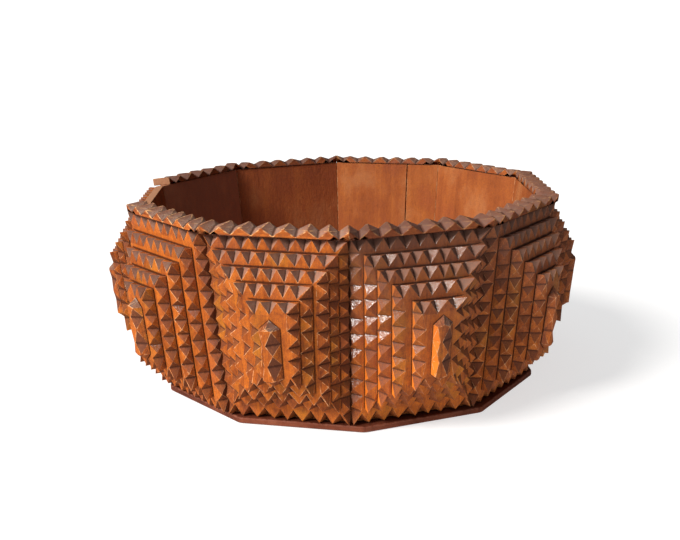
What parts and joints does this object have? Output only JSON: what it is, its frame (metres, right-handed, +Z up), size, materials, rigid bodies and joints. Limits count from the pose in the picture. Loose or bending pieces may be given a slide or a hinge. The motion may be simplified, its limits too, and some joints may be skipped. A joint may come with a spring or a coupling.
{
  "type": "tramp art bowl",
  "caption": "Ten-sided wooden bowl of leaning boards, each side stepped up in chip-carved layers, with a notched rim and a flat base board.",
  "frame": {"origin": "on the bowl's upright axis, at the underside of the base board", "axes": "+Z up; one corner of the ten faces -Y, and the side at -X is the one that has lost its rim strip"},
  "size_m": [0.2566, 0.2462, 0.1012],
  "materials": {
    "base_board": "worn brown varnish",
    "wall_board": "smooth brown varnish",
    "carved_board": "glossy orange-brown varnish, dusty in the notches",
    "rim_strip": "worn orange-brown varnish"
  },
  "bodies": {
    "root": {"base_board": "base_board", "side_01_wall": "wall_board", "side_01_layer_1": "carved_board", "side_01_layers_2_3": "carved_board", "side_01_layers_4_5": "carved_board", "side_01_cap_bar": "carved_board", "side_01_rim_strip": "rim_strip", "side_02_wall": "wall_board", "side_02_layer_1": "carved_board", "side_02_layers_2_3": "carved_board", "side_02_layers_4_5": "carved_board", "side_02_cap_bar": "carved_board", "side_02_rim_strip": "rim_strip", "side_03_wall": "wall_board", "side_03_layer_1": "carved_board", "side_03_layers_2_3": "carved_board", "side_03_layers_4_5": "carved_board", "side_03_cap_bar": "carved_board", "side_03_rim_strip": "rim_strip", "side_04_wall": "wall_board", "side_04_layer_1": "carved_board", "side_04_layers_2_3": "carved_board", "side_04_layers_4_5": "carved_board", "side_04_cap_bar": "carved_board", "side_04_rim_strip": "rim_strip", "side_05_wall": "wall_board", "side_05_layer_1": "carved_board", "side_05_layers_2_3": "carved_board", "side_05_layers_4_5": "carved_board", "side_05_cap_bar": "carved_board", "side_05_rim_strip": "rim_strip", "side_06_wall": "wall_board", "side_06_layer_1": "carved_board", "side_06_layers_2_3": "carved_board", "side_06_layers_4_5": "carved_board", "side_06_cap_bar": "carved_board", "side_07_wall": "wall_board", "side_07_layer_1": "carved_board", "side_07_layers_2_3": "carved_board", "side_07_layers_4_5": "carved_board", "side_07_cap_bar": "carved_board", "side_07_rim_strip": "rim_strip", "side_08_wall": "wall_board", "side_08_layer_1": "carved_board", "side_08_layers_2_3": "carved_board", "side_08_layers_4_5": "carved_board", "side_08_cap_bar": "carved_board", "side_08_rim_strip": "rim_strip", "side_09_wall": "wall_board", "side_09_layer_1": "carved_board", "side_09_layers_2_3": "carved_board", "side_09_layers_4_5": "carved_board", "side_09_cap_bar": "carved_board", "side_09_rim_strip": "rim_strip", "side_10_wall": "wall_board", "side_10_layer_1": "carved_board", "side_10_layers_2_3": "carved_board", "side_10_layers_4_5": "carved_board", "side_10_cap_bar": "carved_board", "side_10_rim_strip": "rim_strip"}
  },
  "joints": []
}
